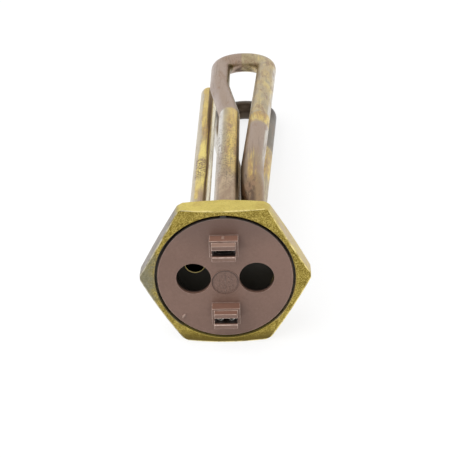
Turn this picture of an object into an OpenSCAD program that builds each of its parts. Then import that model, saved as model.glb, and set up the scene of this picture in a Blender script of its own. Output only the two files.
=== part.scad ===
// Screw plug immersion heater: a brass hexagon plug with a bent tubular element,
// a sensor pocket and a moulded terminal cover.
// The origin is the centre of the sealing shoulder. +Y runs into the tank and +Z is up.

/* [Plug] */
// Width across the flats of the hexagon
hex_af = 50; // [48:0.5:56]
// Thickness of the hexagon
hex_h = 8.1; // [7.5:0.1:12]
// How far each corner of the hexagon is turned back
corner_trim = 0.6; // [0.3:0.1:1.2]
// Angle of the chamfers on both faces of the hexagon
chamfer_a = 22; // [15:1:30]
// Width of the brass rim around the recess, at the middle of a flat
rim_w = 1.8; // [1.6:0.1:3]
// Chamfer at the mouth of the recess
mouth_chamfer = 0.2; // [0.1:0.05:0.6]
// Width of the front chamfer at the middle of a flat
front_chamfer = 0.3; // [0.1:0.05:0.6]
// Width of the back chamfer at the middle of a flat
back_chamfer = 0.6; // [0.3:0.1:1]

/* [Thread] */
// Outside diameter of the parallel pipe thread
thread_d = 41.91; // [40:0.01:43]
// Length of the thread from the shoulder
thread_l = 10; // [9:0.5:16]
// Lead-in chamfer at the wet end
lead_chamfer = 1.4; // [0.8:0.1:1.6]
// Wall between the crest of the thread and the chamber inside
chamber_wall = 3.75; // [3.2:0.05:4.2]
// Wall at the wet end that the tubes are brazed into
back_wall = 6.6; // [5:0.1:7]

/* [Terminal cover] */
// Thickness of the cover's disc
cover_t = 2; // [1.5:0.1:2.5]
// Gap around the disc
cover_gap = 0.75; // [0.4:0.05:1]
// How far the disc lies below the rim
cover_sink = 0.2; // [0.1:0.1:1]
// Chamfer on the disc's front edge
cover_edge = 0.3; // [0.1:0.05:0.5]
// Width of the nib that locates the disc
nib_w = 2; // [1.5:0.1:3]
// Clearance of the nib and of the rear skirt
cover_clear = 0.2; // [0.1:0.05:0.3]
// Thickness of the rear skirt
skirt_t = 1.4; // [1:0.1:1.6]
// Length of the rear skirt
skirt_l = 3; // [2:0.1:3.5]
// Diameter of the two sensor holes
hole_d = 11.5; // [10:0.1:12]
// Distance between the two sensor holes
hole_pitch = 20.8; // [20:0.1:22]
// How much wider the skirt is cut open behind a sensor hole
skirt_room = 1.5; // [1:0.1:2]
// Diameter of the round moulded recess between the holes
mark_d = 9; // [6:0.1:9.2]
// Depth of the moulded recess
mark_depth = 0.2; // [0.1:0.05:0.4]
// How far the moulded recess lies below the centre
mark_drop = 1.5; // [0:0.1:2.5]

/* [Shrouds] */
// Width of a shroud's base
shroud_w = 9.3; // [8.8:0.1:10]
// Height of a shroud's base
shroud_h = 5.9; // [5.4:0.1:6.6]
// How far the base stands out of the disc
shroud_l = 4.1; // [3:0.1:5]
// Width of the two lips in front of the base
lip_w = 7.7; // [7.2:0.1:8.2]
// Thickness of each lip
lip_t = 1.6; // [1.2:0.05:2]
// How far the lips stand out of the base
lip_l = 2.4; // [2:0.1:3.5]
// How far the lips lie below the middle of the base
lip_drop = 0.5; // [0:0.1:0.8]
// Chamfer at the mouth of the slot
slot_lead = 0.15; // [0.1:0.05:0.4]

/* [Contacts] */
// Outside width of a contact
contact_w = 5.8; // [5.4:0.1:6.4]
// Outside radius of its rolled wings
roll_r = 1.05; // [1:0.05:1.2]
// Thickness of the contact strip
strip_t = 0.35; // [0.25:0.05:0.4]
// Thickness of the blade that the contact takes
blade_t = 0.8; // [0.5:0.1:0.9]
// How far the contact lies behind the front of the lips
contact_inset = 2.2; // [1:0.1:2.5]
// Length of the contact's body
contact_l = 7.4; // [6:0.1:7.8]
// Width of the contact's tail
tail_w = 2.4; // [2:0.1:3]
// Clearance between a contact and its room in the shroud
contact_clear = 0.15; // [0.1:0.05:0.2]

/* [Element] */
// Length of the element from the shoulder to the end of its loops
element_l = 170; // [150:1:200]
// Outside diameter of the sheath
sheath_d = 8.5; // [7.5:0.1:9]
// Wall of the sheath
sheath_t = 0.7; // [0.5:0.05:0.9]
// Room between the sheath and the wall of the chamber
leg_edge = 1.25; // [1:0.05:2.2]
// How far the sheath and the pocket stand into the chamber
tube_proud = 1.4; // [0.8:0.1:2]
// Gap between a plain leg and the run beside it
run_gap = 0.7; // [0.3:0.1:1.2]
// Radius of the bend at the end of a loop
loop_r = 10.3; // [9.6:0.1:11]
// Length of a plain leg beside the loop, where it is straight again
loop_run = 21; // [16:1:26]
// Length over which a plain leg is bent aside
jog_l = 32; // [26:1:38]
// How far a plain leg is bent aside
jog = 4.75; // [4:0.05:5.6]
// Where the runs beside the plain legs start to spread
spread_y = 51; // [46:1:60]
// Centre of the return bend near the plug
return_y = 41; // [36:1:44]
// Radius of the gentle bends
gentle_r = 30; // [20:1:40]
// Swell of the tube at a bend
bend_swell = 0.05; // [0.03:0.01:0.1]

/* [Element filling] */
// Diameter of a terminal pin
pin_d = 2.6; // [2.3:0.1:3]
// Length of a terminal pin inside the sheath
cold_l = 45; // [30:1:60]
// How far the wound wire stands out from a pin
coil_t = 0.5; // [0.3:0.05:0.7]
// Length of wire wound over the end of a pin
coil_grip = 6; // [4:0.5:10]
// Flange thickness of an end bush
bush_flange = 1.4; // [1:0.1:2]
// Length of an end bush inside the sheath
bush_l = 4; // [3:0.5:6]
// Length of the resin seal behind the bush
seal_l = 3; // [2:0.5:6]
// Room between a bush and the contact's tail
tail_gap = 0.7; // [0.4:0.1:1]

/* [Sensor pocket] */
// Outside diameter of the pocket
pocket_d = 7.4; // [7:0.1:8]
// Wall of the pocket
pocket_t = 0.5; // [0.4:0.05:0.7]
// How far the pocket ends before the element
pocket_short = 11; // [5:1:40]

/* [Brazing] */
// Size of the braze fillet around each tube
braze = 1.2; // [0.8:0.1:1.5]
// Clearance of a tube in its hole
braze_clear = 0.05; // [0.03:0.01:0.1]

/* [Hidden] */
$fn = 96;
eps = 1;
lap = 0.5;

hex_r = hex_af / 2 / cos(30);
corner_r = hex_r - corner_trim;
recess_r = hex_af / 2 - rim_w;
land_r = hex_af / 2 - front_chamfer;
back_land_r = hex_af / 2 - back_chamfer;
thread_r = thread_d / 2;
chamber_r = thread_r - chamber_wall;

face_y = cover_sink - hex_h;
ledge_y = face_y + cover_t;
floor_y = thread_l - back_wall;
tube_y = floor_y - tube_proud;

sheath_r = sheath_d / 2;
core_r = sheath_r - sheath_t;
leg_z = chamber_r - sheath_r - leg_edge;
run_x = sheath_d + run_gap;

pin_r = pin_d / 2;
coil_r = pin_r + coil_t;
bush_y = tube_y - bush_flange;
seal_y = tube_y + bush_l;
packing_y = seal_y + seal_l;
pin_end_y = tube_y + cold_l;
coil_y = pin_end_y - coil_grip;

pocket_r = pocket_d / 2;
pocket_x = -hole_pitch / 2;
pocket_end = element_l - pocket_short;

// A contact fills its slot, with its flat strip on the pin and its rolled wings outside.
roll_x = contact_w / 2 - roll_r;
slot_h = 2 * (roll_r + contact_clear);
slot_z = leg_z + roll_r;
base_y = face_y - shroud_l;
front_y = base_y - lip_l;
contact_y = front_y + contact_inset;
contact_back = contact_y + contact_l;
tail_y = bush_y - tail_gap;
pin_y = contact_back + strip_t;

loop_y = element_l - sheath_r - loop_r;
jog_end = loop_y - loop_run;
jog_start = jog_end - jog_l;
jog_a = atan(jog / jog_l);
jog_t = gentle_r * tan(jog_a / 2);
fan = [loop_r - jog - run_x, loop_y - spread_y];
spread_a = atan2(fan.x, fan.y) + asin(loop_r / norm(fan));
spread_t = gentle_r * tan(spread_a / 2);

// One half of the element as a bending table: straight runs, and bends to the left,
// to the right or down, each with its radius and angle.
half_table = [
    ["left", gentle_r, jog_a],
    ["run", jog_l / cos(jog_a) - 2 * jog_t],
    ["right", gentle_r, jog_a],
    ["run", loop_run - jog_t],
    ["right", loop_r, 180 + spread_a],
    ["run", sqrt(norm(fan) * norm(fan) - loop_r * loop_r) - spread_t],
    ["left", gentle_r, spread_a],
    ["run", spread_y - spread_t - return_y]
];
back_table = [for (i = [len(half_table) - 1:-1:0]) half_table[i]];
loop_table = concat(half_table, [["down", leg_z, 180]], back_table);

brass = [0.79, 0.69, 0.34];
plastic = [0.52, 0.40, 0.37];
tin = [0.80, 0.80, 0.78];
tube_metal = [0.66, 0.58, 0.44];
steel = [0.62, 0.62, 0.63];
ceramic = [0.90, 0.88, 0.82];
resin = [0.70, 0.35, 0.25];
wire = [0.45, 0.43, 0.42];

// Turns what was built along Z so that it runs along +Y.
module along_y() {
    rotate([-90, 0, 0]) children();
}

// A turned form about the Y axis, from points of radius and distance along Y.
module turned(points) {
    along_y() rotate_extrude() polygon(points);
}

module rod_y(r, from, to) {
    translate([0, from, 0]) along_y() cylinder(r = r, h = to - from);
}

// Puts what belongs to the upper leg in place, or its mirror image at the lower leg.
module at_leg(side) {
    if (side > 0) translate([0, 0, leg_z]) children();
    else mirror([0, 0, 1]) translate([0, 0, leg_z]) children();
}

module ring(outer, inner) {
    difference() {
        circle(r = outer);
        circle(r = inner);
    }
}

// A bend to the left, from the origin and the +Y direction.
module left_bend(bend_r, angle, r) {
    translate([-bend_r, 0, 0]) rotate_extrude(angle = angle) translate([bend_r, 0]) circle(r = r + bend_swell);
}

// Moves to the far end of a bend to the left.
module past_left(bend_r, angle) {
    translate([-bend_r, 0, 0]) rotate([0, 0, angle]) translate([bend_r, 0, 0]) children();
}

// Lays out a rod by its bending table, each entry from the end of the one before.
module bent_rod(table, r, i = 0) {
    if (i < len(table)) {
        kind = table[i][0];
        size = table[i][1];
        angle = table[i][2];
        if (kind == "run") {
            rod_y(r, -lap, size + lap);
            translate([0, size, 0]) bent_rod(table, r, i + 1);
        }
        if (kind == "left") {
            left_bend(size, angle, r);
            past_left(size, angle) bent_rod(table, r, i + 1);
        }
        if (kind == "right") {
            mirror([1, 0, 0]) left_bend(size, angle, r);
            past_left(-size, -angle) bent_rod(table, r, i + 1);
        }
        if (kind == "down") rotate([0, 90, 0]) {
            mirror([1, 0, 0]) left_bend(size, angle, r);
            past_left(-size, -angle) rotate([0, -90, 0]) bent_rod(table, r, i + 1);
        }
    }
}

// The element's course from one end to the other, as a rod that starts at a distance from the shoulder.
module element_rod(from, r) {
    leg_end = jog_start - jog_t;
    for (side = [-1, 1]) at_leg(side) rod_y(r, from, leg_end + lap);
    translate([0, leg_end, leg_z]) bent_rod(loop_table, r);
}

module plug_body() {
    front_drop = (corner_r - land_r) * tan(chamfer_a);
    back_drop = (corner_r - back_land_r) * tan(chamfer_a);
    color(brass) difference() {
        union() {
            intersection() {
                translate([0, -hex_h, 0]) along_y() linear_extrude(hex_h) circle(r = hex_r, $fn = 6);
                turned([
                    [0, -hex_h], [land_r, -hex_h], [corner_r, front_drop - hex_h],
                    [corner_r, -back_drop], [back_land_r, 0], [0, 0]
                ]);
            }
            turned([
                [0, -eps], [thread_r, -eps], [thread_r, thread_l - lead_chamfer],
                [thread_r - lead_chamfer, thread_l], [0, thread_l]
            ]);
        }
        turned([
            [0, -hex_h - eps], [recess_r + mouth_chamfer + eps, -hex_h - eps],
            [recess_r, mouth_chamfer - hex_h], [recess_r, ledge_y],
            [chamber_r, ledge_y], [chamber_r, floor_y], [0, floor_y]
        ]);
        for (side = [-1, 1])
            at_leg(side) rod_y(sheath_r + braze_clear, floor_y - eps, thread_l + eps);
        translate([pocket_x, 0, 0]) rod_y(pocket_r + braze_clear, floor_y - eps, thread_l + eps);
    }
}

module at_slot(side) {
    translate([0, 0, side * slot_z]) children();
}

// A terminal shroud about the middle of its slot: a base block, and a narrower block that
// stands out of it and makes the two lips.
module shroud_body() {
    lip_h = slot_h + 2 * lip_t;
    translate([-shroud_w / 2, base_y, lip_drop - shroud_h / 2]) cube([shroud_w, shroud_l + eps, shroud_h]);
    translate([-lip_w / 2, front_y, -lip_h / 2]) cube([lip_w, lip_l + shroud_l + eps, lip_h]);
}

// The room for the contact in the base, and the slot between the lips, open at its sides.
module shroud_room() {
    room_w = contact_w + 2 * contact_clear;
    slot_w = lip_w + 2 * eps;
    room_l = ledge_y - base_y + 2 * eps;
    mouth_h = slot_h / 2 + slot_lead + eps;
    translate([-room_w / 2, base_y - eps, -slot_h / 2]) cube([room_w, room_l, slot_h]);
    translate([-slot_w / 2, front_y, 0]) rotate([90, 0, 90]) linear_extrude(slot_w) polygon([
        [-eps, -mouth_h], [slot_lead, -slot_h / 2], [lip_l, -slot_h / 2],
        [lip_l, slot_h / 2], [slot_lead, slot_h / 2], [-eps, mouth_h]
    ]);
}

module terminal_cover() {
    cover_r = recess_r - cover_gap;
    skirt_r = chamber_r - cover_clear;
    color(plastic) difference() {
        union() {
            turned([
                [0, face_y], [cover_r - cover_edge, face_y], [cover_r, face_y + cover_edge],
                [cover_r, ledge_y], [0, ledge_y]
            ]);
            turned([
                [skirt_r - skirt_t, ledge_y - cover_t / 2], [skirt_r, ledge_y - cover_t / 2],
                [skirt_r, ledge_y + skirt_l], [skirt_r - skirt_t, ledge_y + skirt_l]
            ]);
            translate([-nib_w / 2, face_y + cover_edge, cover_r - eps])
                cube([nib_w, cover_t - cover_edge, eps + cover_gap - cover_clear]);
            for (side = [-1, 1]) at_slot(side) shroud_body();
        }
        for (side = [-1, 1]) {
            translate([side * hole_pitch / 2, 0, 0]) {
                rod_y(hole_d / 2, face_y - eps, ledge_y + eps);
                rod_y(hole_d / 2 + skirt_room, ledge_y, ledge_y + skirt_l + eps);
            }
            at_slot(side) shroud_room();
        }
        translate([0, 0, -mark_drop]) rod_y(mark_d / 2, face_y - eps, face_y + mark_depth);
    }
}

// Section of the contact's body: a flat strip with both wings rolled over it.
module contact_section() {
    translate([-roll_x, 0]) square([2 * roll_x, strip_t]);
    for (side = [-1, 1]) difference() {
        translate([side * roll_x, roll_r]) ring(roll_r, roll_r - strip_t);
        translate([side > 0 ? 0 : -roll_x, strip_t]) square([roll_x, blade_t]);
    }
}

// A spring contact, with a tail that lies on the flat of the terminal pin.
module contact() {
    color(tin) {
        translate([0, contact_back, 0]) rotate([90, 0, 0]) linear_extrude(contact_l) contact_section();
        translate([-tail_w / 2, contact_back - eps, 0]) cube([tail_w, tail_y - contact_back + eps, strip_t]);
    }
}

module upper_contact() {
    at_leg(1) contact();
}

module lower_contact() {
    at_leg(-1) contact();
}

// A terminal pin with a flat where the contact's tail is welded on.
module terminal_pin() {
    color(steel) difference() {
        rod_y(pin_r, pin_y, pin_end_y);
        translate([-pin_d, pin_y - eps, 0]) cube([2 * pin_d, tail_y - pin_y + eps, pin_d]);
    }
}

module upper_terminal_pin() {
    at_leg(1) terminal_pin();
}

module lower_terminal_pin() {
    at_leg(-1) terminal_pin();
}

// An insulating bush with a flange on the end of the sheath.
module end_bush() {
    flange_r = (core_r + sheath_r) / 2;
    color(ceramic) turned([
        [pin_r, bush_y], [flange_r, bush_y], [flange_r, tube_y],
        [core_r, tube_y], [core_r, seal_y], [pin_r, seal_y]
    ]);
}

module upper_end_bush() {
    at_leg(1) end_bush();
}

module lower_end_bush() {
    at_leg(-1) end_bush();
}

module resin_seal() {
    color(resin) translate([0, seal_y, 0]) along_y() linear_extrude(seal_l) ring(core_r, pin_r);
}

module upper_resin_seal() {
    at_leg(1) resin_seal();
}

module lower_resin_seal() {
    at_leg(-1) resin_seal();
}

module heater_sheath() {
    color(tube_metal) difference() {
        element_rod(tube_y, sheath_r);
        element_rod(tube_y - eps, core_r);
    }
}

// The packed powder around the pins and the wound wire.
module magnesia_packing() {
    color(ceramic) difference() {
        element_rod(packing_y, core_r);
        element_rod(coil_y, coil_r);
        for (side = [-1, 1]) at_leg(side) rod_y(pin_r, packing_y - eps, coil_y + eps);
    }
}

// The close-wound wire, as the rod that its turns fill, with a socket for each pin.
module resistance_coil() {
    color(wire) difference() {
        element_rod(coil_y, coil_r);
        for (side = [-1, 1]) at_leg(side) rod_y(pin_r, coil_y - eps, pin_end_y);
    }
}

// A tube with a round closed end.
module sensor_pocket() {
    bore = pocket_r - pocket_t;
    dome_y = pocket_end - pocket_r;
    color(tube_metal) translate([pocket_x, 0, 0]) difference() {
        union() {
            rod_y(pocket_r, tube_y, dome_y);
            translate([0, dome_y, 0]) sphere(r = pocket_r);
        }
        rod_y(bore, tube_y - eps, dome_y);
        translate([0, dome_y, 0]) sphere(r = bore);
    }
}

// A concave ring of braze around a tube on the wet face.
module braze_ring(r) {
    land = braze / 10;
    translate([0, thread_l, 0]) along_y() rotate_extrude() translate([r, 0]) difference() {
        square(braze + land);
        translate([braze + land, braze + land]) circle(r = braze);
    }
}

module upper_braze() {
    color(brass) at_leg(1) braze_ring(sheath_r);
}

module lower_braze() {
    color(brass) at_leg(-1) braze_ring(sheath_r);
}

module pocket_braze() {
    color(brass) translate([pocket_x, 0, 0]) braze_ring(pocket_r);
}

plug_body();
terminal_cover();
upper_contact();
lower_contact();
upper_terminal_pin();
lower_terminal_pin();
upper_end_bush();
lower_end_bush();
upper_resin_seal();
lower_resin_seal();
heater_sheath();
magnesia_packing();
resistance_coil();
sensor_pocket();
upper_braze();
lower_braze();
pocket_braze();
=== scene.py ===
import math

import bmesh
import bpy
from mathutils import Matrix, Vector


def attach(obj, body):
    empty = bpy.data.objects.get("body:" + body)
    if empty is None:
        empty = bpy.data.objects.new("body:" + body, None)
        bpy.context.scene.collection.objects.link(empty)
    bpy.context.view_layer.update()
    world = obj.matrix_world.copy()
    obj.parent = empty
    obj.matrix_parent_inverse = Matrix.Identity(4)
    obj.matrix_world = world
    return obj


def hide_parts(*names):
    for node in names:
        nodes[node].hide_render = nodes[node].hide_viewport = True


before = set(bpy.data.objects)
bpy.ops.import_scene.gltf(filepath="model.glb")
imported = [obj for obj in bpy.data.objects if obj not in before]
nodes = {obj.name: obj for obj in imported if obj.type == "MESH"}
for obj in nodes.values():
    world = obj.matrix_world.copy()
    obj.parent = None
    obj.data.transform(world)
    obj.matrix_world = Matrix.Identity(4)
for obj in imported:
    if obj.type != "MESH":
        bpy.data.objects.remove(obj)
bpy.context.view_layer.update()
scene = bpy.context.scene

MM = 0.001
MERGE = 0.001 * MM
FINE_MERGE = 0.1 * MERGE
AXIS_Y = Vector((0, 1, 0))
AXIS_Z = Vector((0, 0, 1))

# Sockets of a Mix node, by number because several share a name.
MIX_FACTOR = 0
MIX_NUMBERS = (2, 3)
MIX_COLOURS = (6, 7)
MIX_COLOUR_OUT = 2

# Sizes of the plug, in metres, as in the solid model.
HEX_FLAT = 25 * MM
HEX_H = 8.1 * MM
HEX_MID_Y = -HEX_H / 2
RECESS_R = HEX_FLAT - 1.8 * MM
THREAD_R = 20.955 * MM
THREAD_L = 10 * MM
THREAD_DEPTH = 1.479 * MM
PITCH = 2.309 * MM
LEAD = 1.4 * MM
CHAMBER_R = THREAD_R - 3.75 * MM
FLOOR_Y = THREAD_L - 6.6 * MM
TUBE_Y = FLOOR_Y - 1.4 * MM

# Sizes of the tubes.
SHEATH_R = 4.25 * MM
LEG_Z = CHAMBER_R - SHEATH_R - 1.25 * MM
RUN_X = 2 * SHEATH_R + 0.7 * MM
ELEMENT_L = 170 * MM
LOOP_R = 10.3 * MM
LOOP_Y = ELEMENT_L - SHEATH_R - LOOP_R
LOOP_RUN = 21 * MM
JOG_L = 32 * MM
JOG = 4.75 * MM
JOG_START = LOOP_Y - LOOP_RUN - JOG_L
SPREAD_Y = 51 * MM
RETURN_Y = 41 * MM
GENTLE_R = 30 * MM
POCKET_X = -10.4 * MM
POCKET_R = 3.7 * MM
POCKET_BORE_R = POCKET_R - 0.5 * MM
POCKET_DOME_Y = ELEMENT_L - 11 * MM - POCKET_R

# Sizes of the cover.
FACE_Y = 0.2 * MM - HEX_H
LEDGE_Y = FACE_Y + 2 * MM
DISC_R = RECESS_R - 0.75 * MM
MARK_R = 4.5 * MM
MARK_Z = -1.5 * MM
MARK_Y = FACE_Y + 0.2 * MM
SLOT_Z = LEG_Z + 1.05 * MM
SLOT_HALF_H = 1.25 * MM
SLOT_HALF_W = 3.8 * MM
LIP_TOP = SLOT_Z + 2.8 * MM
LIP_Y = FACE_Y - 4.1 * MM
FRONT_Y = LIP_Y - 2.4 * MM
SHROUD_TOP = SLOT_Z + 3.45 * MM
SCAR_PLACE = Vector((-14.2 * MM, FACE_Y, -14.3 * MM))
SCAR_R = 0.9 * MM
SCAR_SHAPE = Vector((0.55, 0.45, 1.2))
SCAR_LEAN = math.radians(38)
RIB_PLACE = Vector((-0.2 * MM, FACE_Y - 1.85 * MM, SHROUD_TOP))
RIB_SIZE = Vector((0.9 * MM, 2.0 * MM, 0.30 * MM))

# Where the tints and painted shades of the tubes lie along Y, from one end of a band or a fade to the other.
LEG_GOLD_Y = (52 * MM, 101 * MM)
LEG_LOW_GOLD_Y = (42 * MM, 52 * MM)
LEG_PINK_Y = (100 * MM, 102 * MM)
LEG_RUST_Y = (76 * MM, 98 * MM)
LEG_FOOT_Y = (46 * MM, 34 * MM)
LEG_SPECKS_Y = (30 * MM, 82 * MM)
RUN_GOLD_Y = (87 * MM, 97 * MM)
RUN_FAR_GOLD_Y = (96 * MM, 100 * MM)
RUN_STREAKS_Y = (37 * MM, 60 * MM)
RUN_PINK_Y = (56 * MM, 87 * MM)
TAN_Y = (64 * MM, 48 * MM)
RUN_SIDE_SHADE_Y = (68 * MM, 52 * MM)
RUN_TOP_SHADE_Y = (40 * MM, 28 * MM)
LOWER_GOLD_Y = (84 * MM, 112 * MM)
LOWER_SHADE_Y = (106 * MM, 118 * MM)
LOOP_DARK_Y = (138 * MM, 154 * MM)
POCKET_GOLD_Y = (38 * MM, 46 * MM)
POCKET_BRIGHT_Y = (54 * MM, 98 * MM)
POCKET_WEDGE_Y = (90 * MM, 108 * MM)
POCKET_FAR_Y = (108 * MM, 124 * MM)
POCKET_FOOT_Y = (60 * MM, 48 * MM)
POCKET_BROAD_Y = (104 * MM, 122 * MM)
POCKET_MARKS_Y = (62 * MM, 80 * MM)

# Colours of the brass.
BRASS_STRAW = (0.58, 0.46, 0.10)
BRASS_PALE = (0.72, 0.59, 0.155)
BRASS_PINK = (0.56, 0.44, 0.32)
BRASS_FLECK = (0.36, 0.27, 0.05)
BRASS_TARNISH = (0.47, 0.32, 0.07)
BRASS_STAIN = (0.20, 0.14, 0.035)
OLIVE_DEEP = (0.30, 0.225, 0.045)
OLIVE = (0.44, 0.34, 0.08)
OLIVE_DARK = (0.14, 0.10, 0.02)
OLIVE_BRIGHT = (0.68, 0.55, 0.17)
FACE_GREY_DARK = (0.19, 0.18, 0.12)
FACE_GREY = (0.31, 0.30, 0.23)
FLAT_GREY_DARK = (0.165, 0.140, 0.142)
FLAT_GREY = (0.275, 0.250, 0.252)
LOW_GREY_DARK = (0.125, 0.122, 0.100)
LOW_GREY = (0.205, 0.205, 0.175)
# Worn edges, pale brass and pale grey, also standing as a painted highlight.
WORN_BRASS_HIGHLIGHT = (0.92, 0.79, 0.36)
WORN_GREY_HIGHLIGHT = (0.76, 0.71, 0.56)
# Painted shade in the gap round the cover and in the chamber, and a painted highlight on the chamber's right
# wall.
CHAMBER_PAINTED_SHADE = (0.048, 0.043, 0.033)
CHAMBER_LIT = (0.40, 0.30, 0.09)
BRAZE_DARK = (0.45, 0.31, 0.10)
BRAZE_LIGHT = (0.68, 0.53, 0.22)

# Colours of the cover.
COVER_BROWN = (0.136, 0.076, 0.055)
COVER_LIGHT = (0.162, 0.092, 0.068)
COVER_TOP_SHADE = (0.095, 0.055, 0.043)
COVER_WORN_HIGHLIGHT = (0.52, 0.40, 0.34)
COVER_GRAIN = (0.085, 0.05, 0.042)
MARK_MOTTLE = (0.085, 0.048, 0.036)
COVER_PAINTED_SHADE = (0.018, 0.011, 0.009)
GROOVE_SHADOW = (0.05, 0.028, 0.022)
SHROUD_TOP_PAINTED_LIGHT = (0.195, 0.098, 0.068)
LIP_HIGHLIGHT = (0.27, 0.185, 0.145)

# Colours of the tubes.
WARM_DARK = (0.395, 0.315, 0.19)
WARM_LIGHT = (0.545, 0.465, 0.305)
STRAW_GOLD = (0.78, 0.60, 0.17)
BROWN_GOLD = (0.49, 0.30, 0.095)
TUBE_STAIN = (0.32, 0.20, 0.13)
TUBE_LINE = (0.24, 0.18, 0.13)
TUBE_SPECK = (0.12, 0.095, 0.07)
SHEATH_SHEEN = (0.74, 0.72, 0.68)
SHEATH_PINK = (0.375, 0.272, 0.22)
SHEATH_TAN = (0.335, 0.228, 0.137)
SHEATH_SHADE = (0.12, 0.08, 0.06)
LOWER_RUN_SHADE = (0.16, 0.145, 0.128)
LOWER_LEG_OXIDE_AND_SHADE = (0.17, 0.125, 0.09)
LOOP_OXIDE_AND_SHADE = (0.06, 0.045, 0.033)
LEG_GOLD = (0.69, 0.51, 0.16)
LEG_RUST = (0.48, 0.30, 0.16)
LEG_SHADE_STRIPE = (0.14, 0.105, 0.045)
LEG_SPECK = (0.14, 0.11, 0.065)
FOOT_BROWN = (0.35, 0.24, 0.155)
FOOT_PALE = (0.55, 0.41, 0.265)
POCKET_SHEEN = (0.60, 0.53, 0.40)
POCKET_BRIGHT = (0.90, 0.76, 0.25)
POCKET_FAR = (0.70, 0.53, 0.16)
POCKET_FOOT = (0.44, 0.31, 0.21)
POCKET_SHADE_STRIPE = (0.26, 0.175, 0.075)
POCKET_HIGHLIGHT_STRIP = (1.0, 0.94, 0.74)
POCKET_MARK = (0.15, 0.065, 0.055)
POCKET_BORE_SHADE = (0.03, 0.022, 0.014)
POCKET_MOUTH_HIGHLIGHT = (0.80, 0.66, 0.26)


# Finishes.

class Finish:
    """A material on object coordinates, built up node by node."""

    def __init__(self, name):
        self.material = bpy.data.materials.new(name)
        self.material.use_nodes = True
        self.tree = self.material.node_tree
        self.shader = self.tree.nodes["Principled BSDF"]
        coords = self.tree.nodes.new("ShaderNodeTexCoord")
        self.place = coords.outputs["Object"]
        self.facing = self.split(coords.outputs["Normal"])
        self.at = self.split(self.place)

    def add(self, kind, **settings):
        node = self.tree.nodes.new(kind)
        for key, value in settings.items():
            setattr(node, key, value)
        return node

    def feed(self, socket, value):
        if isinstance(value, bpy.types.NodeSocket):
            self.tree.links.new(value, socket)
        else:
            socket.default_value = value

    def split(self, vector):
        node = self.add("ShaderNodeSeparateXYZ")
        self.feed(node.inputs[0], vector)
        return node.outputs

    def stretched(self, scale, turn=(0, 0, 0)):
        node = self.add("ShaderNodeMapping")
        self.feed(node.inputs["Vector"], self.place)
        node.inputs["Scale"].default_value = scale
        node.inputs["Rotation"].default_value = turn
        return node.outputs[0]

    def noise(self, scale, detail=3.0, roughness=0.55, distortion=0.0, vector=None):
        node = self.add("ShaderNodeTexNoise")
        self.feed(node.inputs["Vector"], vector or self.place)
        node.inputs["Scale"].default_value = scale
        node.inputs["Detail"].default_value = detail
        node.inputs["Roughness"].default_value = roughness
        node.inputs["Distortion"].default_value = distortion
        return node.outputs[0]

    def cells(self, scale):
        node = self.add("ShaderNodeTexVoronoi")
        self.feed(node.inputs["Vector"], self.place)
        node.inputs["Scale"].default_value = scale
        return node.outputs["Distance"]

    def step(self, value, low, high, out_low=0.0, out_high=1.0):
        node = self.add("ShaderNodeMapRange", interpolation_type="SMOOTHSTEP")
        self.feed(node.inputs["Value"], value)
        node.inputs["From Min"].default_value = low
        node.inputs["From Max"].default_value = high
        node.inputs["To Min"].default_value = out_low
        node.inputs["To Max"].default_value = out_high
        return node.outputs["Result"]

    def band(self, value, low, high, soft):
        return self.all_of(
            self.step(value, low - soft, low + soft),
            self.step(value, high + soft, high - soft),
        )

    def calc(self, operation, a, b=0.0):
        node = self.add("ShaderNodeMath", operation=operation)
        self.feed(node.inputs[0], a)
        self.feed(node.inputs[1], b)
        return node.outputs[0]

    def any_of(self, *masks):
        out = masks[0]
        for mask in masks[1:]:
            out = self.calc("MAXIMUM", out, mask)
        return out

    def all_of(self, *masks):
        out = masks[0]
        for mask in masks[1:]:
            out = self.calc("MULTIPLY", out, mask)
        return out

    def rest_of(self, mask):
        return self.calc("SUBTRACT", 1.0, mask)

    def shifted(self, value, noise, amount):
        """A value moved to and fro by a noise."""
        return self.calc("ADD", value, self.calc("MULTIPLY", self.calc("SUBTRACT", noise, 0.5), amount))

    def ragged(self, scale, amount):
        """Distance along Y with an uneven edge."""
        return self.shifted(self.at[1], self.noise(scale, 4, 0.6), amount)

    def away(self, x=0.0, z=0.0):
        """Distance from an axis along Y."""
        squares = []
        for value, centre in ((self.at[0], x), (self.at[2], z)):
            off = self.calc("SUBTRACT", value, centre)
            squares.append(self.calc("MULTIPLY", off, off))
        return self.calc("SQRT", self.calc("ADD", *squares))

    def towards_flat(self):
        """Distance from the axis along Y towards the nearest flat of the hexagon."""
        across = self.calc("MULTIPLY", self.at[0], math.cos(math.radians(30)))
        up = self.calc("MULTIPLY", self.at[2], math.sin(math.radians(30)))
        slanted = (self.calc(side, across, up) for side in ("ADD", "SUBTRACT"))
        return self.any_of(*(self.calc("ABSOLUTE", reach) for reach in (self.at[2], *slanted)))

    def blend(self, mask, under, over):
        node = self.add("ShaderNodeMix", data_type="RGBA")
        self.feed(node.inputs[MIX_FACTOR], mask)
        for socket, colour in zip(MIX_COLOURS, (under, over)):
            plain = not isinstance(colour, bpy.types.NodeSocket)
            self.feed(node.inputs[socket], (*colour, 1) if plain else colour)
        return node.outputs[MIX_COLOUR_OUT]

    def mark(self, name):
        return self.add("ShaderNodeAttribute", attribute_name=name).outputs["Fac"]

    def relief(self, height, strength, distance):
        node = self.add("ShaderNodeBump")
        node.inputs["Strength"].default_value = strength
        node.inputs["Distance"].default_value = distance
        self.feed(node.inputs["Height"], height)
        self.feed(self.shader.inputs["Normal"], node.outputs[0])

    def done(self, colour, roughness, metallic):
        self.feed(self.shader.inputs["Base Color"], colour)
        self.feed(self.shader.inputs["Roughness"], roughness)
        self.feed(self.shader.inputs["Metallic"], metallic)
        return self.material


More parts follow.
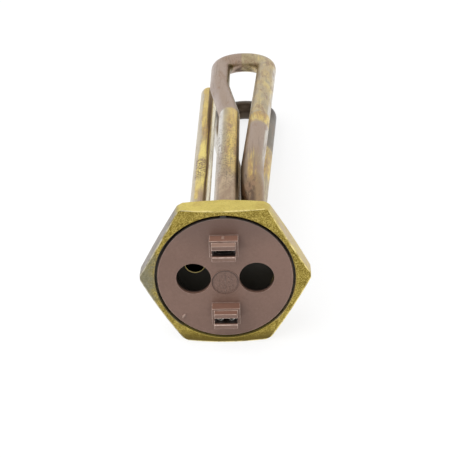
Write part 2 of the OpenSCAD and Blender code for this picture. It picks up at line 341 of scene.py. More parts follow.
def dulled_brass():
    """The plug's brass: straw on the flats, olive on the front face, grey on the left flats."""
    f = Finish("dulled_brass")
    patches = f.noise(70, 4, 0.6)
    cloud = f.noise(240, 4, 0.65)
    speckle = f.noise(2300, 3, 0.7)
    flecks = f.noise(2900, 2, 0.6)
    tarnish = f.noise(170, 4, 0.65)
    drawn = f.noise(170, 4, 0.7, vector=f.stretched((1, 3, 1)))
    pits = f.step(f.cells(420), 0.0, 0.16)
    away = f.away()
    hexagon = f.step(away, 22.5 * MM, 23.5 * MM)
    front = f.step(f.facing[1], -0.8, -0.9)
    sideways = f.shifted(f.at[0], patches, 5 * MM)
    flat_start, flat_full = 13.6 * MM, 16 * MM

    colour = f.blend(f.step(patches, 0.35, 0.65), BRASS_STRAW, BRASS_PALE)
    bloom = f.step(drawn, 0.28, 0.66)
    right = f.all_of(hexagon, f.step(sideways, flat_start, flat_full), bloom, 0.85)
    colour = f.blend(right, colour, BRASS_PINK)
    colour = f.blend(f.step(flecks, 0.55, 0.66, 0.0, 0.5), colour, BRASS_FLECK)
    colour = f.blend(f.step(tarnish, 0.50, 0.68, 0.0, 0.45), colour, BRASS_TARNISH)

    olive = f.blend(f.step(cloud, 0.35, 0.65), OLIVE_DEEP, OLIVE)
    olive = f.blend(f.step(flecks, 0.52, 0.62, 0.0, 0.75), olive, OLIVE_DARK)
    olive = f.blend(f.step(flecks, 0.47, 0.37, 0.0, 0.65), olive, OLIVE_BRIGHT)
    # Painted shade: the front face darker towards its bottom edge.
    olive = f.blend(f.step(f.at[2], -19 * MM, -24 * MM, 0.0, 0.9), olive, OLIVE_DARK)
    colour = f.blend(front, colour, olive)

    mottle = f.step(cloud, 0.4, 0.6)
    low = f.step(f.at[2], 4 * MM, -4 * MM)
    side = f.blend(mottle, FLAT_GREY_DARK, FLAT_GREY)
    side = f.blend(low, side, f.blend(mottle, LOW_GREY_DARK, LOW_GREY))
    left = f.all_of(hexagon, f.step(sideways, -flat_start, -flat_full), f.rest_of(front), 0.9)
    colour = f.blend(left, colour, side)
    grey = f.blend(f.step(speckle, 0.35, 0.65), FACE_GREY_DARK, FACE_GREY)
    far_left = f.step(f.shifted(f.at[0], cloud, 8 * MM), -21 * MM, -26 * MM)
    colour = f.blend(f.all_of(far_left, front, 0.85), colour, grey)
    colour = f.blend(f.step(cloud, 0.62, 0.74, 0.0, 0.5), colour, BRASS_STAIN)

    # Wear and painted highlight: pale, bare-looking brass on the hexagon's corners at both ends and along the
    # outer rim of the front chamfer.
    rim = f.step(f.towards_flat(), HEX_FLAT - 0.50 * MM, HEX_FLAT - 0.30 * MM)
    from_middle = f.calc("ABSOLUTE", f.calc("SUBTRACT", f.at[1], HEX_MID_Y))
    at_ends = f.step(from_middle, 3.2 * MM, 3.6 * MM)
    corner = f.all_of(f.mark("wear_and_highlight"), f.step(away, 24 * MM, 24.8 * MM), at_ends)
    edge = f.any_of(corner, f.all_of(front, rim))
    grey_side = f.step(f.at[0], -8 * MM, -16 * MM)
    chance = f.step(f.noise(420, 3, 0.65), 0.34, 0.56, 0.2, 0.95)
    worn_and_highlit = f.all_of(edge, chance, f.step(grey_side, 0.0, 1.0, 1.0, 0.7))
    colour = f.blend(worn_and_highlit, colour, f.blend(grey_side, WORN_BRASS_HIGHLIGHT, WORN_GREY_HIGHLIGHT))

    # Painted shade: the gap round the cover and the chamber behind it are near black and not metallic; a
    # painted highlight lights the chamber's right wall.
    recess = f.all_of(
        f.step(away, RECESS_R + 0.04 * MM, RECESS_R - 0.06 * MM),
        f.band(f.at[1], FACE_Y, LEDGE_Y + 0.2 * MM, 0.1 * MM),
    )
    chamber = f.all_of(
        f.step(away, CHAMBER_R + 0.4 * MM, CHAMBER_R + 0.2 * MM),
        f.band(f.at[1], LEDGE_Y - 0.1 * MM, FLOOR_Y + 0.3 * MM, 0.1 * MM),
    )
    dark = f.any_of(recess, chamber)
    wall = f.step(away, CHAMBER_R - 0.205 * MM, CHAMBER_R + 0.095 * MM)
    lit_wall = f.all_of(chamber, f.step(f.at[0], 14.2 * MM, 16.4 * MM), wall)
    colour = f.blend(dark, colour, CHAMBER_PAINTED_SHADE)
    colour = f.blend(lit_wall, colour, CHAMBER_LIT)

    dullness = f.calc("ADD", speckle, f.all_of(f.any_of(front, dark), 0.3))
    f.relief(f.calc("ADD", f.all_of(speckle, 0.5), f.all_of(pits, 0.6)), 0.35, 0.12 * MM)
    return f.done(colour, f.step(dullness, 0.2, 0.9, 0.30, 0.60), f.rest_of(dark))


def flowed_braze():
    f = Finish("flowed_braze")
    flow = f.noise(500, 4, 0.6)
    colour = f.blend(f.step(flow, 0.35, 0.65), BRAZE_DARK, BRAZE_LIGHT)
    f.relief(flow, 0.3, 0.2 * MM)
    return f.done(colour, f.step(flow, 0.3, 0.7, 0.3, 0.5), 1.0)


def moulded_brown():
    """The cover's plastic: worn and given a painted highlight along its edges, mottled in its recess, with
    painted shade inside its slots, round its edge and towards its top.
    """
    f = Finish("moulded_brown")
    cloud = f.noise(55, 3, 0.5)
    grain = f.noise(2600, 2, 0.6)
    mottle = f.noise(900, 3, 0.65)
    proud = f.step(f.at[1], FACE_Y - 0.3 * MM, FACE_Y - 0.8 * MM)
    on_face = f.step(f.at[1], FACE_Y - 0.5 * MM, FACE_Y - 0.2 * MM)
    from_mark = f.away(0, MARK_Z)

    shade = f.calc("ADD", f.all_of(cloud, 0.6), f.all_of(mottle, 0.4))
    colour = f.blend(f.step(shade, 0.38, 0.62), COVER_BROWN, COVER_LIGHT)
    # Painted shade: darker towards the top of the cover.
    colour = f.blend(f.step(f.at[2], 10 * MM, 20 * MM, 0.0, 0.6), colour, COVER_TOP_SHADE)
    # Painted light: the up-facing tops of the shrouds are redder, without the sheen of their fronts.
    colour = f.blend(f.all_of(proud, f.step(f.facing[2], 0.4, 0.8), 0.85), colour, SHROUD_TOP_PAINTED_LIGHT)
    # Wear and painted highlight: paler along the rounded edges, most on the proud shrouds.
    worn_and_highlit = f.all_of(f.mark("wear_and_highlight"), f.step(f.noise(700, 2), 0.3, 0.6, 0.35, 1.0))
    colour = f.blend(f.all_of(worn_and_highlit, f.any_of(proud, 0.3)), colour, COVER_WORN_HIGHLIGHT)
    colour = f.blend(f.step(grain, 0.58, 0.72, 0.0, 0.3), colour, COVER_GRAIN)

    # Painted shadow: a dark line just inside the edge of the recessed mark, strongest at its top.
    groove = f.all_of(f.band(from_mark, MARK_R - 0.5 * MM, MARK_R - 0.02 * MM, 0.08 * MM), on_face)
    shadow_towards_top = f.step(f.at[2], MARK_Z - 3 * MM, MARK_Z + 2 * MM, 0.25, 0.85)
    colour = f.blend(f.all_of(groove, shadow_towards_top), colour, GROOVE_SHADOW)
    # Painted highlight: the top of the upper shroud's front lip is paler.
    lip = f.all_of(
        f.step(f.at[2], LIP_TOP - 0.25 * MM, LIP_TOP - 0.1 * MM),
        f.step(f.at[1], LIP_Y, LIP_Y - 0.1 * MM),
    )
    colour = f.blend(f.all_of(lip, 0.6), colour, LIP_HIGHLIGHT)
    # Darker mottling over the floor of the recessed mark, where its lettering is left off.
    sunk = f.all_of(f.step(from_mark, MARK_R - 0.1 * MM, MARK_R - 0.3 * MM), on_face)
    recess_mottle = f.step(f.noise(1700, 3, 0.7), 0.44, 0.58, 0.0, 0.6)
    colour = f.blend(f.all_of(sunk, recess_mottle), colour, MARK_MOTTLE)

    # Painted shade: near black at the upper part of the disc's edge, on the faces behind the cover's face,
    # and deep inside the slots.
    edge = f.all_of(
        f.step(f.away(), DISC_R - 0.40 * MM, DISC_R - 0.22 * MM),
        f.step(f.at[2], 2 * MM, 12 * MM),
    )
    behind = f.step(f.at[1], FACE_Y + 0.8 * MM, FACE_Y + 1.6 * MM)
    slots = f.any_of(*(
        f.band(f.at[2], z - SLOT_HALF_H, z + SLOT_HALF_H, 0.05 * MM) for z in (-SLOT_Z, SLOT_Z)
    ))
    inside = f.all_of(
        slots,
        f.step(f.at[1], FRONT_Y + 0.5 * MM, FRONT_Y + 1.2 * MM),
        f.band(f.at[0], -SLOT_HALF_W, SLOT_HALF_W, 0.02 * MM),
    )
    colour = f.blend(f.any_of(edge, behind, inside), colour, COVER_PAINTED_SHADE)
    f.relief(f.calc("ADD", grain, f.all_of(cloud, 0.4)), 0.12, 0.08 * MM)
    return f.done(colour, f.step(grain, 0.3, 0.7, 0.42, 0.56), 0.0)


def tube_warm(f, sheen_side, bright):
    """Drawn tube, warm in patches, with a painted highlight along one side."""
    drift = f.noise(150, 4, 0.65, 0.3, vector=f.stretched((1.0, 0.45, 1.0)))
    colour = f.blend(f.step(drift, 0.35, 0.65), WARM_DARK, WARM_LIGHT)
    return f.blend(sheen_side, colour, bright), drift


def tube_gold(f, mask, colour):
    """Heat tint, from straw to a browner gold."""
    depth = f.noise(330, 4, 0.65, 0.4, vector=f.stretched((1.0, 0.3, 1.0)))
    gold = f.blend(f.step(depth, 0.36, 0.62), STRAW_GOLD, BROWN_GOLD)
    return f.blend(f.all_of(mask, f.step(depth, 0.72, 0.50, 0.45, 0.95)), colour, gold)


def tube_marks(f, colour, amount):
    """Brown stains and fine drawn lines along the tube."""
    stains = f.noise(240, 4, 0.7, 0.5, vector=f.stretched((1.0, 0.32, 1.0)))
    colour = f.blend(f.step(stains, 0.52, 0.64, 0.0, amount), colour, TUBE_STAIN)
    lines = f.noise(1300, 2, 0.5, vector=f.stretched((1.0, 0.03, 1.0)))
    return f.blend(f.step(lines, 0.56, 0.70, 0.0, 0.5), colour, TUBE_LINE)


def tube_done(f, colour, drift):
    fine = f.noise(1900, 3, 0.7)
    colour = f.blend(f.step(fine, 0.58, 0.70, 0.0, 0.65), colour, TUBE_SPECK)
    f.relief(fine, 0.12, 0.08 * MM)
    return f.done(colour, f.step(drift, 0.3, 0.7, 0.30, 0.44), 1.0)


def tinted_sheath():
    """The element's tube: heat tint lies in other places on each of its four runs."""
    f = Finish("tinted_sheath")
    across = f.facing[0]
    upper = f.step(f.at[2], -1 * MM, 1 * MM)
    run = f.step(f.at[0], 4.4 * MM, 4.9 * MM)
    lower, leg = f.rest_of(upper), f.rest_of(run)
    upper_leg, upper_run = f.all_of(upper, leg), f.all_of(upper, run)
    lower_leg, lower_run = f.all_of(lower, leg), f.all_of(lower, run)

    # Painted highlight: a silvery sheen along the legs' left sides and the upper run's right side, weaker on
    # the undersides.
    sheen_side = f.any_of(
        f.all_of(leg, f.step(across, -0.36, -0.72, 0.0, 0.9)),
        f.all_of(upper_run, f.step(across, 0.72, 0.86, 0.0, 0.65)),
    )
    sheen_side = f.all_of(sheen_side, f.step(f.facing[2], -0.7, 0.1, 0.4, 1.0))
    colour, drift = tube_warm(f, sheen_side, SHEATH_SHEEN)
    y = f.ragged(120, 16 * MM)
    crisp = f.ragged(300, 4 * MM)
    right = f.step(f.shifted(across, drift, 1.2), -0.45, 0.25)
    strands = f.noise(520, 3, 0.6, vector=f.stretched((1.0, 0.05, 1.0)))
    fingers = f.shifted(f.at[1], strands, 50 * MM)

    pink = f.any_of(
        f.all_of(upper_leg, f.step(crisp, *LEG_PINK_Y)),
        f.all_of(upper_run, f.band(crisp, *RUN_PINK_Y, 3 * MM)),
    )
    colour = f.blend(f.all_of(pink, f.step(across, 0.86, 0.72), 0.85), colour, SHEATH_PINK)
    tan = f.all_of(upper, f.step(fingers, *TAN_Y), f.any_of(run, 0.55), 0.9)
    colour = f.blend(tan, colour, SHEATH_TAN)
    # Painted shade: the upper run dark on its left side near the return bend and the plug, where it faces the
    # leg beside it.
    shaded_part = f.any_of(
        f.all_of(f.step(fingers, *RUN_SIDE_SHADE_Y), f.step(across, -0.30, -0.75)),
        f.all_of(f.step(fingers, *RUN_TOP_SHADE_Y), f.step(across, 0.45, 0.05)),
    )
    colour = f.blend(f.all_of(upper_run, shaded_part, 0.85), colour, SHEATH_SHADE)
    # Painted shade: the lower run darker along its far part, under the upper run.
    colour = f.blend(f.all_of(lower_run, f.step(y, *LOWER_SHADE_Y), 0.85), colour, LOWER_RUN_SHADE)

    streaks = f.all_of(f.step(strands, 0.46, 0.58), f.band(across, -0.45, 0.35, 0.2))
    gold = f.any_of(
        f.all_of(upper_leg, f.band(crisp, *LEG_GOLD_Y, 1.5 * MM), right),
        f.all_of(upper_leg, f.band(y, *LEG_LOW_GOLD_Y, 4 * MM), right, 0.8),
        f.all_of(upper_run, f.band(crisp, *RUN_GOLD_Y, 1.2 * MM), f.step(drift, 0.2, 0.45)),
        f.all_of(upper_run, f.step(crisp, *RUN_FAR_GOLD_Y), f.step(drift, 0.45, 0.65), 0.5),
        f.all_of(upper_run, f.band(f.at[1], *RUN_STREAKS_Y, 5 * MM), streaks, 0.9),
        f.all_of(lower_run, f.band(y, *LOWER_GOLD_Y, 5 * MM), f.step(drift, 0.3, 0.5)),
    )
    colour = tube_gold(f, gold, colour)
    leg_gold = f.all_of(gold, upper_leg)
    colour = f.blend(f.all_of(leg_gold, f.band(across, 0.15, 0.74, 0.08), 0.6), colour, LEG_GOLD)
    leg_rust = f.all_of(f.band(y, *LEG_RUST_Y, 5 * MM), f.step(strands, 0.44, 0.58), 0.6)
    colour = f.blend(f.all_of(leg_gold, leg_rust), colour, LEG_RUST)

    foot = f.all_of(upper_leg, f.step(y, *LEG_FOOT_Y), f.step(across, -0.95, -0.70), 0.85)
    colour = f.blend(foot, colour, f.blend(f.step(drift, 0.38, 0.60), FOOT_BROWN, FOOT_PALE))
    colour = tube_marks(f, colour, 0.7)
    # Painted shade: a dark stripe along the right side of the upper leg.
    colour = f.blend(f.all_of(upper_leg, f.band(across, 0.79, 0.95, 0.03), 0.9), colour, LEG_SHADE_STRIPE)
    # Dark brown on the lower leg away from its left side: oxide, with painted shade where the upper leg
    # shades it.
    colour = f.blend(f.all_of(lower_leg, f.step(across, -0.65, -0.40), 0.8), colour, LOWER_LEG_OXIDE_AND_SHADE)
    # Near black at the lower loop's far end: oxide, with painted shade under the upper loop.
    colour = f.blend(f.all_of(lower, f.step(y, *LOOP_DARK_Y), 0.9), colour, LOOP_OXIDE_AND_SHADE)
    specks = f.step(f.cells(1100), 0.40, 0.26, 0.0, 0.75)
    specks = f.all_of(upper_leg, f.band(y, *LEG_SPECKS_Y, 8 * MM), specks)
    return tube_done(f, f.blend(specks, colour, LEG_SPECK), drift)


def tinted_pocket():
    """The pocket's tube: a gold band along its top, with crossing dark marks near the plug."""
    f = Finish("tinted_pocket")
    across = f.facing[0]
    # Painted highlight: a silvery sheen along the left side.
    colour, drift = tube_warm(f, f.step(across, -0.30, -0.60, 0.0, 0.85), POCKET_SHEEN)
    y = f.ragged(120, 14 * MM)
    wedge = f.band(y, *POCKET_WEDGE_Y, 14 * MM)
    lean = f.calc("SUBTRACT", f.shifted(across, drift, 0.9), f.all_of(wedge, 0.4))
    gold = f.all_of(f.step(lean, -0.66, -0.42), f.step(y, *POCKET_GOLD_Y))
    colour = tube_gold(f, gold, colour)
    bright = f.all_of(gold, f.band(y, *POCKET_BRIGHT_Y, 8 * MM), 0.75)
    colour = f.blend(bright, colour, POCKET_BRIGHT)
    colour = f.blend(f.all_of(gold, f.step(y, *POCKET_FAR_Y), 0.5), colour, POCKET_FAR)
    foot = f.all_of(f.step(y, *POCKET_FOOT_Y), f.step(lean, -0.35, 0.05), 0.85)
    colour = f.blend(foot, colour, POCKET_FOOT)

    # Painted shade and painted highlight: a dark stripe on the right side, widening towards the far end, and
    # a near-white strip along the far right.
    line = f.shifted(across, drift, 0.3)
    broad = f.calc("ADD", line, f.all_of(f.step(y, *POCKET_BROAD_Y), 0.26))
    shade_stripe = f.all_of(f.step(broad, 0.30, 0.40), f.step(line, 0.60, 0.52))
    colour = f.blend(shade_stripe, colour, POCKET_SHADE_STRIPE)
    colour = f.blend(f.step(across, 0.60, 0.70), colour, POCKET_HIGHLIGHT_STRIP)
    zone = f.all_of(
        f.band(f.ragged(150, 8 * MM), *POCKET_MARKS_Y, 3 * MM),
        f.band(across, -0.70, 0.35, 0.12),
    )
    slanted = f.stretched((0.7, 1.6, 0.7), turn=(0, 0, 0.6))
    marks = f.step(f.noise(420, 3, 0.6, 2.5, vector=slanted), 0.46, 0.53)
    colour = f.blend(f.all_of(zone, marks, 0.9), colour, POCKET_MARK)

    # Painted shade: the pocket's bore near black.
    bore = f.step(f.away(POCKET_X), POCKET_BORE_R + 0.1 * MM, POCKET_BORE_R)
    inside = f.all_of(bore, f.step(f.at[1], POCKET_DOME_Y, POCKET_DOME_Y - 0.5 * MM))
    colour = f.blend(inside, colour, POCKET_BORE_SHADE)
    # Painted highlight: the end ring of the mouth bright gold.
    mouth = f.all_of(f.step(f.at[1], TUBE_Y + 0.2 * MM, TUBE_Y), f.rest_of(inside))
    colour = f.blend(mouth, colour, POCKET_MOUTH_HIGHLIGHT)
    return tube_done(f, tube_marks(f, colour, 0.35), drift)


def plain_metal(name, light, dark, rough):
    f = Finish(name)
    drawn = f.noise(700, 3, 0.6, vector=f.stretched((1, 0.1, 1)))
    colour = f.blend(f.step(drawn, 0.35, 0.65), dark, light)
    f.relief(drawn, 0.1, 0.05 * MM)
    return f.done(colour, f.step(drawn, 0.3, 0.7, rough, rough + 0.15), 1.0)


def fired_ceramic(name, light, dark, rough):
    f = Finish(name)
    grain = f.noise(900, 4, 0.65)
    colour = f.blend(f.step(grain, 0.35, 0.65), dark, light)
    f.relief(grain, 0.2, 0.08 * MM)
    return f.done(colour, f.step(grain, 0.3, 0.7, rough, rough + 0.15), 0.0)


BRASS = dulled_brass()
BRAZE = flowed_braze()
BROWN = moulded_brown()
SHEATH = tinted_sheath()
POCKET = tinted_pocket()
# Lit and shaded copies of one tin: near white on the lower contact as a painted highlight, near black on the
# upper contact as painted shade in its slot.
TIN_PAINTED_HIGHLIGHT = plain_metal("tin_painted_highlight", (0.95, 0.94, 0.90), (0.78, 0.76, 0.70), 0.18)
TIN_PAINTED_SHADE = plain_metal("tin_painted_shade", (0.10, 0.095, 0.085), (0.05, 0.047, 0.042), 0.4)
STEEL = plain_metal("pin_steel", (0.56, 0.56, 0.57), (0.40, 0.40, 0.41), 0.35)
WIRE = plain_metal("oxidised_wire", (0.34, 0.32, 0.31), (0.22, 0.21, 0.20), 0.45)
CERAMIC = fired_ceramic("fired_ceramic", (0.72, 0.68, 0.60), (0.60, 0.56, 0.49), 0.6)
RESIN = fired_ceramic("cast_resin", (0.42, 0.16, 0.09), (0.33, 0.12, 0.07), 0.3)


# Ways of making a piece.

def piece(name, bm, material, smooth=35):
    mesh = bpy.data.meshes.new(name)
    bm.to_mesh(mesh)
    bm.free()
    mesh.materials.append(material)
    mesh.shade_smooth()
    mesh.set_sharp_from_angle(angle=math.radians(smooth))
    made = bpy.data.objects.new(name, mesh)
    scene.collection.objects.link(made)
    even = made.modifiers.new("even_shading", "WEIGHTED_NORMAL")
    even.keep_sharp = True
    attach(made, "root")
    return made


def merged_copy(node, flat=0.4):
    """A copy of a CAD mesh, its triangles joined where they lie flat."""
    bm = bmesh.new()
    bm.from_mesh(nodes[node].data)
    bmesh.ops.remove_doubles(bm, verts=bm.verts, dist=MERGE)
    bmesh.ops.dissolve_limit(bm, angle_limit=math.radians(flat), verts=bm.verts, edges=bm.edges)
    return bm


def set_wear_and_highlight(bm, amount):
    """Gives every face the same wear and painted edge highlight."""
    wear_and_highlight = bm.faces.layers.float.get("wear_and_highlight") or bm.faces.layers.float.new("wear_and_highlight")
    for face in bm.faces:
        face[wear_and_highlight] = amount


def soften(bm, width, segments=2, sharp=26):
    """Rounds the sharp edges and marks the rounded faces for wear and a painted edge highlight."""
    wear_and_highlight = bm.faces.layers.float.new("wear_and_highlight")
    corners = [
        e for e in bm.edges
        if len(e.link_faces) == 2 and e.calc_face_angle() > math.radians(sharp)
    ]
    made = bmesh.ops.bevel(
        bm, geom=corners, offset=width, offset_type="OFFSET", segments=segments,
        profile=0.5, affect="EDGES", clamp_overlap=True, material=-1,
    )
    for face in made["faces"]:
        face[wear_and_highlight] = 1.0
    return bm


def turned(points, centre, steps=64):
    """A closed outline of radius and distance along Y, spun about an axis along Y."""
    bm = bmesh.new()
    ring = [bm.verts.new((centre.x + r, y, centre.z)) for r, y in points]
    edges = [bm.edges.new(pair) for pair in zip(ring, ring[1:] + ring[:1])]
    bmesh.ops.spin(
        bm, geom=ring + edges, cent=centre, axis=AXIS_Y, angle=math.tau, steps=steps,
        use_merge=True, use_duplicate=False,
    )
    bmesh.ops.remove_doubles(bm, verts=bm.verts, dist=FINE_MERGE)
    bmesh.ops.dissolve_degenerate(bm, edges=bm.edges, dist=0.1 * FINE_MERGE)
    bmesh.ops.recalc_face_normals(bm, faces=bm.faces)
    return bm


def bent_tube(radius, start, table, sides=48, run_step=4 * MM, bend_step=5):
    """A round tube laid out by its bending table from a start point, heading along +Y."""
    bm = bmesh.new()
    made = bmesh.ops.create_circle(bm, cap_ends=True, segments=sides, radius=radius)
    bmesh.ops.rotate(bm, verts=made["verts"], matrix=Matrix.Rotation(math.radians(-90), 3, "X"))
    bmesh.ops.translate(bm, verts=made["verts"], vec=start)
    loop = list(bm.edges)
    point, heading, up = start.copy(), AXIS_Y.copy(), AXIS_Z.copy()
    for kind, size, *angle in table:
        if kind == "run":
            steps = max(1, round(size / run_step))
            for _ in range(steps):
                out = bmesh.ops.extrude_edge_only(bm, edges=loop)["geom"]
                verts = [g for g in out if isinstance(g, bmesh.types.BMVert)]
                edges = [g for g in out if isinstance(g, bmesh.types.BMEdge)]
                loop = [e for e in edges if all(v in verts for v in e.verts)]
                bmesh.ops.translate(bm, verts=verts, vec=heading * (size / steps))
            point = point + heading * size
            continue
        side = heading.cross(up)
        aside, axis = {"left": (-side, up), "right": (side, -up), "down": (-up, -side)}[kind]
        centre = point + aside * size
        steps = max(4, round(math.degrees(angle[0]) / bend_step))
        spun = bmesh.ops.spin(bm, geom=loop, cent=centre, axis=axis, angle=angle[0], steps=steps)
        loop = [g for g in spun["geom_last"] if isinstance(g, bmesh.types.BMEdge)]
        turn = Matrix.Rotation(angle[0], 3, axis)
        point = centre + turn @ (point - centre)
        heading, up = turn @ heading, turn @ up
    bmesh.ops.contextual_create(bm, geom=loop)
    bmesh.ops.remove_doubles(bm, verts=bm.verts, dist=FINE_MERGE)
    bmesh.ops.recalc_face_normals(bm, faces=bm.faces)
    return bm


# The plug.

def plug():
    """The plug's solid, with its threaded stretch taken down to the root of the thread."""
    bm = merged_copy("plug_body")
    root = THREAD_R - THREAD_DEPTH
    near = 10 * MERGE
    for v in bm.verts:
        r = math.hypot(v.co.x, v.co.z)
        if v.co.y > -near and root - MERGE < r < THREAD_R + near:
            v.co.x *= root / r
            v.co.z *= root / r
    bmesh.ops.remove_doubles(bm, verts=bm.verts, dist=MERGE)
    made = piece("plug", soften(bm, 0.28 * MM, 3), BRASS, 30)
    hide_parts("plug_body")


def thread_ridge(turns=5, per_turn=96):
    """The right-hand ridge of the pipe thread, wound on its root and turned off at the lead chamfer."""
    bm = bmesh.new()
    root = THREAD_R - THREAD_DEPTH - 0.15 * MM
    start = -1.4 * MM
    flank = [(root, 1.15 * MM), (THREAD_R - 0.35 * MM, 0.36 * MM), (THREAD_R - 0.07 * MM, 0.16 * MM)]
    outline = [(r, -y) for r, y in flank] + [(THREAD_R, 0.0)] + flank[::-1]
    face = bm.faces.new([bm.verts.new((r, start + y, 0)) for r, y in outline])
    bmesh.ops.spin(
        bm, geom=[face], cent=(0, 0, 0), axis=AXIS_Y, dvec=AXIS_Y * (PITCH / per_turn),
        angle=math.tau * turns, steps=turns * per_turn,
    )
    for v in bm.verts:
        v.co.y = min(v.co.y, THREAD_L - 0.01 * MM)
        limit = THREAD_R - max(0, v.co.y - (THREAD_L - LEAD))
        r = math.hypot(v.co.x, v.co.z)
        if r > limit:
            v.co.x *= limit / r
            v.co.z *= limit / r
    set_wear_and_highlight(bm, 0.0)
    bmesh.ops.recalc_face_normals(bm, faces=bm.faces)
    piece("plug_thread", bm, BRASS, 50)


# The cover and its contacts.

def cover():
    bm = soften(merged_copy("terminal_cover"), 0.16 * MM, 2)
    made = piece("cover", bm, BROWN, 30)
    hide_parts("terminal_cover")


def cover_mark():
    """The raised rim and the dividing rib of the round recess, with plain bars beside the rib."""
    inner, outer = MARK_R - 0.05 * MM, MARK_R + 0.28 * MM
    foot, crest = MARK_Y + 0.1 * MM, FACE_Y - 0.16 * MM
    outline = [
        (inner, foot), (inner, FACE_Y - 0.06 * MM), (MARK_R, crest),
        (MARK_R + 0.16 * MM, crest), (outer, FACE_Y + 0.05 * MM), (outer, foot),
    ]
    rim = turned(outline, Vector((0, 0, MARK_Z)), 96)
    set_wear_and_highlight(rim, 0.0)
    piece("cover_mark_rim", rim, BROWN, 60)
    thick, bar_w = 0.34, 0.32
    rib = (0, 0, 0.16, 7.8)
    beside = ((1.1, 1.5, 0.7), (1.1, -0.2, 1.0), (1.1, -2.0, 0.7), (2.2, 0.7, 0.8), (2.2, -1.1, 0.8))
    bars = bmesh.new()
    for x, z, w, h in [rib] + [(side * x, z, bar_w, h) for side in (-1, 1) for x, z, h in beside]:
        bar = bmesh.ops.create_cube(bars, size=1)["verts"]
        bmesh.ops.scale(bars, verts=bar, vec=Vector((w, thick, h)) * MM)
        bmesh.ops.translate(bars, verts=bar, vec=(x * MM, MARK_Y, MARK_Z + z * MM))
    soften(bars, 0.05 * MM, 2)
    piece("cover_mark_bars", bars, BROWN, 40)


def gate_scar():
    """The trace of the moulding gate near the edge of the cover."""
    bm = bmesh.new()
    bmesh.ops.create_uvsphere(bm, u_segments=24, v_segments=12, radius=SCAR_R)
    bmesh.ops.scale(bm, verts=bm.verts, vec=SCAR_SHAPE)
    bmesh.ops.rotate(bm, verts=bm.verts, matrix=Matrix.Rotation(SCAR_LEAN, 3, "Y"))
    bmesh.ops.translate(bm, verts=bm.verts, vec=SCAR_PLACE)
    # The scar is paler, as wear and a painted highlight.
    set_wear_and_highlight(bm, 1.0)
    piece("cover_gate_scar", bm, BROWN, 60)


def shroud_rib():
    """The low rib that the moulding tool leaves on top of the upper shroud."""
    bm = bmesh.new()
    rib = bmesh.ops.create_cube(bm, size=1)["verts"]
    bmesh.ops.scale(bm, verts=rib, vec=RIB_SIZE)
    bmesh.ops.translate(bm, verts=rib, vec=RIB_PLACE)
    soften(bm, 0.12 * MM, 2)
    # The rib is a little paler, as wear and a painted highlight.
    set_wear_and_highlight(bm, 0.3)
    piece("upper_shroud_rib", bm, BROWN, 40)


def contacts():
    # The upper contact takes the painted shade, the lower the painted highlight.
    for name, material in (("upper_contact", TIN_PAINTED_SHADE), ("lower_contact", TIN_PAINTED_HIGHLIGHT)):
        bm = soften(merged_copy(name), 0.05 * MM, 2, 40)
        made = piece(name + "_strip", bm, material, 40)
        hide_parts(name)


# The tubes.

def element():
    """The element's tube on the bending table of the solid: out, round a loop, back, and down to its twin."""
    jog_a = math.atan(JOG / JOG_L)
    jog_t = GENTLE_R * math.tan(jog_a / 2)
    fan = Vector((LOOP_R - JOG - RUN_X, LOOP_Y - SPREAD_Y))
    spread_a = math.atan2(fan.x, fan.y) + math.asin(LOOP_R / fan.length)
    spread_t = GENTLE_R * math.tan(spread_a / 2)
    half = [
        ("run", JOG_START - jog_t - TUBE_Y),
        ("left", GENTLE_R, jog_a),
        ("run", JOG_L / math.cos(jog_a) - 2 * jog_t),
        ("right", GENTLE_R, jog_a),
        ("run", LOOP_RUN - jog_t),
        ("right", LOOP_R, math.pi + spread_a),
        ("run", math.sqrt(fan.length ** 2 - LOOP_R ** 2) - spread_t),
        ("left", GENTLE_R, spread_a),
        ("run", SPREAD_Y - spread_t - RETURN_Y),
    ]
    table = half + [("down", LEG_Z, math.pi)] + half[::-1]
    tube = bent_tube(SHEATH_R, Vector((0, TUBE_Y, LEG_Z)), table)
    made = piece("element_tube", tube, SHEATH, 50)
    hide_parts("heater_sheath")


def pocket():
    """The sensor pocket: a drawn tube with a domed end and an open, slightly rounded mouth."""
    lead = 0.12 * MM
    quarter = [math.radians(a) for a in range(0, 91, 10)]

    def dome(r, angles):
        return [(r * math.cos(a), POCKET_DOME_Y + r * math.sin(a)) for a in angles]

    outline = [(POCKET_BORE_R + lead, TUBE_Y), (POCKET_R - lead, TUBE_Y), (POCKET_R, TUBE_Y + lead)]
    outline += dome(POCKET_R, quarter)
    outline += dome(POCKET_BORE_R, quarter[::-1])
    outline += [(POCKET_BORE_R, TUBE_Y + lead)]
    tube = turned(outline, Vector((POCKET_X, 0, 0)))
    made = piece("pocket_tube", tube, POCKET, 50)
    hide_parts("sensor_pocket")


plug()
thread_ridge()
cover()
cover_mark()
gate_scar()
shroud_rib()
contacts()
element()
pocket()

for names, material in (
    (("upper_terminal_pin", "lower_terminal_pin"), STEEL),
    (("upper_end_bush", "lower_end_bush", "magnesia_packing"), CERAMIC),
    (("upper_resin_seal", "lower_resin_seal"), RESIN),
    (("resistance_coil",), WIRE),
    (("upper_braze", "lower_braze", "pocket_braze"), BRAZE),
):
    for name in names:
        nodes[name].data.materials.clear()
        nodes[name].data.materials.append(material)


# Floor, light and camera.

def seen_white(tree):
    """1 for rays that should see a white background, from the camera or off a mirror."""
    path = tree.nodes.new("ShaderNodeLightPath")
    seen = path.outputs["Is Camera Ray"]
    for name in ("Is Glossy Ray", "Is Transmission Ray"):
        either = tree.nodes.new("ShaderNodeMath")
        either.operation = "MAXIMUM"
        tree.links.new(seen, either.inputs[0])
        tree.links.new(path.outputs[name], either.inputs[1])
        seen = either.outputs[0]
    return seen


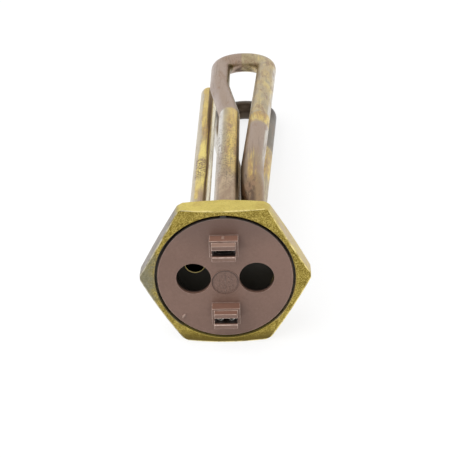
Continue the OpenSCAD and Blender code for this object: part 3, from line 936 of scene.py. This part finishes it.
def floor():
    """The white floor, under the hexagon's lowest flat and the end of the lower loop."""
    rise, run = 9.04, 166
    bm = bmesh.new()
    bmesh.ops.create_grid(bm, x_segments=1, y_segments=1, size=4)
    bmesh.ops.rotate(bm, verts=bm.verts, matrix=Matrix.Rotation(math.atan2(rise, run), 3, "X"))
    bmesh.ops.translate(bm, verts=bm.verts, vec=(0, 0, -HEX_FLAT))
    mesh = bpy.data.meshes.new("floor")
    bm.to_mesh(mesh)
    bm.free()
    made = bpy.data.objects.new("floor", mesh)
    scene.collection.objects.link(made)
    material = bpy.data.materials.new("floor_white")
    material.use_nodes = True
    tree = material.node_tree
    shader = tree.nodes["Principled BSDF"]
    shader.inputs["Base Color"].default_value = (0.92, 0.92, 0.92, 1)
    shader.inputs["Roughness"].default_value = 0.8
    glow = tree.nodes.new("ShaderNodeEmission")
    glow.inputs["Strength"].default_value = 1.0
    share = tree.nodes.new("ShaderNodeMath")
    share.operation = "MULTIPLY"
    share.inputs[1].default_value = 0.8
    tree.links.new(seen_white(tree), share.inputs[0])
    mix = tree.nodes.new("ShaderNodeMixShader")
    tree.links.new(share.outputs[0], mix.inputs[0])
    tree.links.new(shader.outputs[0], mix.inputs[1])
    tree.links.new(glow.outputs[0], mix.inputs[2])
    tree.links.new(mix.outputs[0], tree.nodes["Material Output"].inputs["Surface"])
    mesh.materials.append(material)


def studio():
    """A white room, whose light on the object falls off from the upper left to the lower right."""
    world = bpy.data.worlds.new("studio")
    scene.world = world
    world.use_nodes = True
    tree = world.node_tree
    back = tree.nodes["Background"]
    coords = tree.nodes.new("ShaderNodeTexCoord")
    lean = tree.nodes.new("ShaderNodeVectorMath")
    lean.operation = "DOT_PRODUCT"
    tree.links.new(coords.outputs["Generated"], lean.inputs[0])
    lean.inputs[1].default_value = (-0.8, 0.0, 0.5)
    ramp = tree.nodes.new("ShaderNodeMapRange")
    tree.links.new(lean.outputs["Value"], ramp.inputs["Value"])
    ramp.inputs["From Min"].default_value = -0.4
    ramp.inputs["From Max"].default_value = 0.4
    ramp.inputs["To Min"].default_value = 0.5
    ramp.inputs["To Max"].default_value = 1.1
    light = tree.nodes.new("ShaderNodeMix")
    dim, white = MIX_NUMBERS
    tree.links.new(seen_white(tree), light.inputs[MIX_FACTOR])
    tree.links.new(ramp.outputs[0], light.inputs[dim])
    light.inputs[white].default_value = 1.0
    back.inputs["Color"].default_value = (1, 1, 1, 1)
    tree.links.new(light.outputs[0], back.inputs["Strength"])


def lamp(name, place, watts, aim=(0, 0.03, 0), size=1.2):
    data = bpy.data.lights.new(name, "AREA")
    data.size = size
    data.energy = watts
    made = bpy.data.objects.new(name, data)
    scene.collection.objects.link(made)
    made.location = place
    made.rotation_euler = (Vector(aim) - Vector(place)).to_track_quat("-Z", "Y").to_euler()
    made.visible_glossy = False


def camera():
    place = (0.01214, -0.32732, 0.19005)
    yaw, pitch, roll = (math.radians(a) for a in (-1.852, 28.240, -1.937))
    level_ahead = Vector((math.sin(yaw), math.cos(yaw), 0))
    ahead = level_ahead * math.cos(pitch) - AXIS_Z * math.sin(pitch)
    level = Vector((math.cos(yaw), -math.sin(yaw), 0))
    above = level.cross(ahead)
    right = math.cos(roll) * level + math.sin(roll) * above
    up = -math.sin(roll) * level + math.cos(roll) * above
    turn = Matrix((right, up, -ahead)).transposed().to_4x4()
    data = bpy.data.cameras.new("camera")
    data.sensor_width = 36
    data.lens = 88.84
    data.clip_start = 10 * MM
    made = bpy.data.objects.new("camera", data)
    scene.collection.objects.link(made)
    made.matrix_world = Matrix.Translation(place) @ turn
    scene.camera = made


floor()
studio()
lamp("key", (-0.5, -0.35, 0.9), 9)
lamp("fill", (0.5, -0.5, 0.8), 1.5)
camera()
scene.view_settings.view_transform = "Standard"
